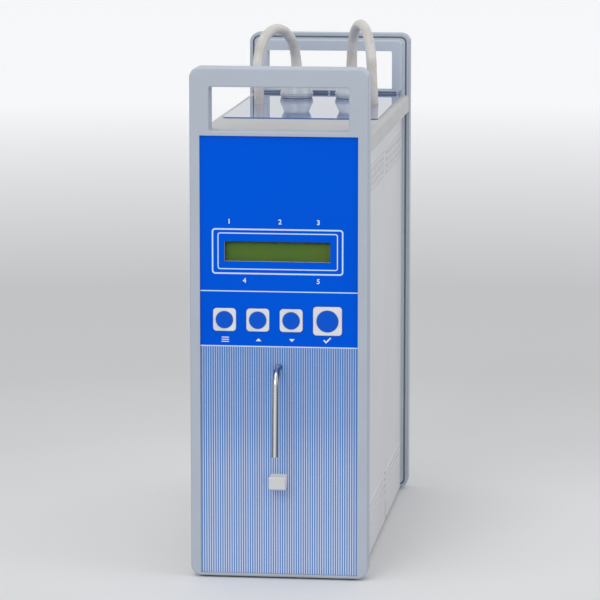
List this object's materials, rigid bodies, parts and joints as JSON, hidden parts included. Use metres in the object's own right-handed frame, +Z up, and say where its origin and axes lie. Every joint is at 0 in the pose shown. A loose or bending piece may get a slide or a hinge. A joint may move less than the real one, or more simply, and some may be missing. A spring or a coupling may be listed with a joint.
{
  "type": "milk analyzer",
  "caption": "Tall narrow bench instrument that tests milk: display and keys on a film-covered front, steel sampling pipe over a cup hook, handle frames at both ends and hose unions on top.",
  "frame": {"origin": "centre of the object's footprint box, sampling pipe included, on the surface it stands on", "axes": "+X to the right seen from the front, +Y from the front panel to the rear panel, +Z up"},
  "size_m": [0.104, 0.3, 0.3129],
  "materials": {
    "frame_plastic": "satin moulded",
    "liner_plastic": "satin moulded",
    "side_paint": "fine texture paint",
    "cover_plastic": "satin moulded",
    "plate_gloss": "polished",
    "film": "printed film with fine stripes",
    "key_plastic": "printed",
    "clear_plastic": "clear",
    "display": "liquid crystal display",
    "circuit_board": "solder resist",
    "steel": "polished",
    "sheet_metal": "painted sheet",
    "grey_plastic": "moulded",
    "pearl_plastic": "moulded",
    "white_plastic": "moulded",
    "rubber": "matt",
    "silicone": "translucent",
    "black_plastic": "moulded",
    "port_metal": "tinned",
    "motor_metal": "plated",
    "aluminium": "machined"
  },
  "bodies": {
    "root": {"front_bezel": "frame_plastic", "rear_bezel": "frame_plastic", "front_liner": "liner_plastic", "rear_liner": "liner_plastic", "left_side_panel": "side_paint", "right_side_panel": "side_paint", "top_cover": "cover_plastic", "top_plate": "plate_gloss", "front_film": "film", "display_window": "clear_plastic", "pump_cover": "clear_plastic", "lcd_glass": "display", "lcd_board": "circuit_board", "keypad_board": "circuit_board", "main_board": "circuit_board", "sample_pipe": "steel", "lcd_frame": "steel", "panel_screws": "steel", "pump_screws": "steel", "board_standoffs": "steel", "transducers": "steel", "front_panel": "sheet_metal", "rear_panel": "sheet_metal", "base_plate": "sheet_metal", "chassis_plate": "sheet_metal", "cup_hook": "grey_plastic", "union_bodies": "white_plastic", "hose_tails": "white_plastic", "hose_sockets": "white_plastic", "pump_head": "white_plastic", "rubber_feet": "rubber", "left_hose": "silicone", "right_hose": "silicone", "sample_tube": "silicone", "cell_tubes": "silicone", "pump_tubes": "silicone", "pump_tube": "silicone", "pipe_gland": "black_plastic", "switch_body": "black_plastic", "dc_inlet": "black_plastic", "fuse_holder": "black_plastic", "cell_heater": "black_plastic", "serial_port": "port_metal", "pump_motor": "motor_metal", "temperature_sensor": "motor_metal", "heatsink": "aluminium", "cell_block": "aluminium"},
    "mode_key": {"mode_key": "key_plastic"},
    "up_key": {"up_key": "key_plastic"},
    "down_key": {"down_key": "key_plastic"},
    "enter_key": {"enter_key": "key_plastic"},
    "power_rocker": {"power_rocker": "black_plastic"},
    "left_union_knob": {"left_union_knob": "pearl_plastic"},
    "right_union_knob": {"right_union_knob": "pearl_plastic"},
    "fuse_cap": {"fuse_cap": "black_plastic"},
    "pump_rotor": {"pump_rotor": "white_plastic"},
    "pump_roller_1": {"pump_roller_1": "white_plastic"},
    "pump_roller_2": {"pump_roller_2": "white_plastic"},
    "pump_roller_3": {"pump_roller_3": "white_plastic"}
  },
  "joints": [
    {"name": "mode_key_press", "type": "slide", "parent": "root", "child": "mode_key", "axis": [0, 1, 0], "range_m": [0, 0.0005], "stiffness_N_per_m": 1500, "springref_m": -0.0003},
    {"name": "up_key_press", "type": "slide", "parent": "root", "child": "up_key", "axis": [0, 1, 0], "range_m": [0, 0.0005], "stiffness_N_per_m": 1500, "springref_m": -0.0003},
    {"name": "down_key_press", "type": "slide", "parent": "root", "child": "down_key", "axis": [0, 1, 0], "range_m": [0, 0.0005], "stiffness_N_per_m": 1500, "springref_m": -0.0003},
    {"name": "enter_key_press", "type": "slide", "parent": "root", "child": "enter_key", "axis": [0, 1, 0], "range_m": [0, 0.0005], "stiffness_N_per_m": 1500, "springref_m": -0.0003},
    {"name": "power_rocker_tilt", "type": "hinge", "parent": "root", "child": "power_rocker", "pos_m": [0.024, 0.143, 0.04], "axis": [1, 0, 0], "range_deg": [0, 16]},
    {"name": "left_union_knob_turn", "type": "hinge", "parent": "root", "child": "left_union_knob", "pos_m": [-0.0177, 0.105, 0.268], "axis": [0, 0, 1], "range_deg": [0, 540]},
    {"name": "right_union_knob_turn", "type": "hinge", "parent": "root", "child": "right_union_knob", "pos_m": [0.0177, 0.105, 0.268], "axis": [0, 0, 1], "range_deg": [0, 540]},
    {"name": "fuse_cap_turn", "type": "hinge", "parent": "root", "child": "fuse_cap", "pos_m": [-0.024, 0.144, 0.04], "axis": [0, 1, 0], "range_deg": [0, 90]},
    {"name": "pump_spin", "type": "hinge", "parent": "root", "child": "pump_rotor", "pos_m": [0, 0.062, 0.08], "axis": [1, 0, 0], "continuous": true},
    {"name": "pump_roller_1_spin", "type": "hinge", "parent": "pump_rotor", "child": "pump_roller_1", "pos_m": [0, 0.062, 0.0943], "axis": [1, 0, 0], "continuous": true},
    {"name": "pump_roller_2_spin", "type": "hinge", "parent": "pump_rotor", "child": "pump_roller_2", "pos_m": [0, 0.04962, 0.07285], "axis": [1, 0, 0], "continuous": true},
    {"name": "pump_roller_3_spin", "type": "hinge", "parent": "pump_rotor", "child": "pump_roller_3", "pos_m": [0, 0.07438, 0.07285], "axis": [1, 0, 0], "continuous": true}
  ],
  "couplings": [
    {"joint": "pump_roller_1_spin", "follows": "pump_spin", "ratio": -3.86},
    {"joint": "pump_roller_2_spin", "follows": "pump_spin", "ratio": -3.86},
    {"joint": "pump_roller_3_spin", "follows": "pump_spin", "ratio": -3.86}
  ]
}
